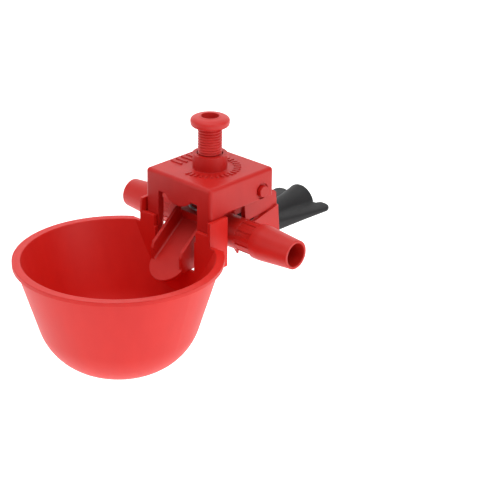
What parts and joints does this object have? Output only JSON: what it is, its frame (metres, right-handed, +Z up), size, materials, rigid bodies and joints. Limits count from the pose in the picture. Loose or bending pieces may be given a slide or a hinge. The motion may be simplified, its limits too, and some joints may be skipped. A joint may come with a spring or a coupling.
{
  "type": "hanging poultry drinker",
  "caption": "Cup drinker that clamps to a cage wall; the bowl's weight closes a valve on a tee pipe with two hose tails.",
  "frame": {"origin": "clamp point: axis of the clamp bolt at the rear face of the clamp plate", "axes": "+X along the pipe, +Y out of the cage along the bolt, +Z up; the bowl is at -Y"},
  "size_m": [0.0788, 0.1289, 0.0755],
  "materials": {
    "red_pp_bracket": "semi-gloss red moulded polypropylene",
    "red_pp_frame": "semi-gloss red moulded polypropylene",
    "red_pp_bowl": "semi-gloss red moulded polypropylene",
    "red_pp_screw": "semi-gloss red moulded polypropylene",
    "black_nylon": "matte black moulded nylon",
    "white_acetal": "natural white acetal",
    "black_rubber": "black nitrile rubber",
    "grey_rubber": "grey silicone rubber",
    "spring_steel": "bright stainless spring wire"
  },
  "bodies": {
    "bracket": {"tee_bracket": "red_pp_bracket", "clamp_bolt": "black_nylon", "valve_nozzle": "white_acetal", "nozzle_seal": "black_rubber", "valve_spring": "spring_steel"},
    "hanger": {"hanger_frame": "red_pp_frame"},
    "bowl": {"bowl": "red_pp_bowl"},
    "plunger": {"plunger": "white_acetal", "valve_pad": "grey_rubber"},
    "screw": {"adjusting_screw": "red_pp_screw"},
    "nut": {"wing_nut": "black_nylon"}
  },
  "joints": [
    {"name": "hanger_rock", "type": "hinge", "parent": "bracket", "child": "hanger", "pos_m": [0, -0.0096, 0.0223], "axis": [1, 0, 0], "range_deg": [0, 5], "stiffness_Nm_per_rad": 0.3, "springref_deg": -3.84, "deforming": ["valve_spring"]},
    {"name": "bowl_slide", "type": "slide", "parent": "hanger", "child": "bowl", "axis": [0, -0.0872, -0.9962], "range_m": [0, 0.02]},
    {"name": "screw_feed", "type": "slide", "parent": "hanger", "child": "plunger", "axis": [0, 0.0872, 0.9962], "range_m": [-0.0009, 0.0021]},
    {"name": "screw_turn", "type": "hinge", "parent": "plunger", "child": "screw", "pos_m": [0, -0.01862, 0.03384], "axis": [0, 0.0872, 0.9962], "range_deg": [-325, 757]},
    {"name": "nut_travel", "type": "slide", "parent": "bracket", "child": "nut", "axis": [0, 1, 0], "range_m": [0, 0.012]}
  ],
  "couplings": [
    {"joint": "screw_turn", "follows": "screw_feed", "rad_per_m": 6283.2}
  ]
}
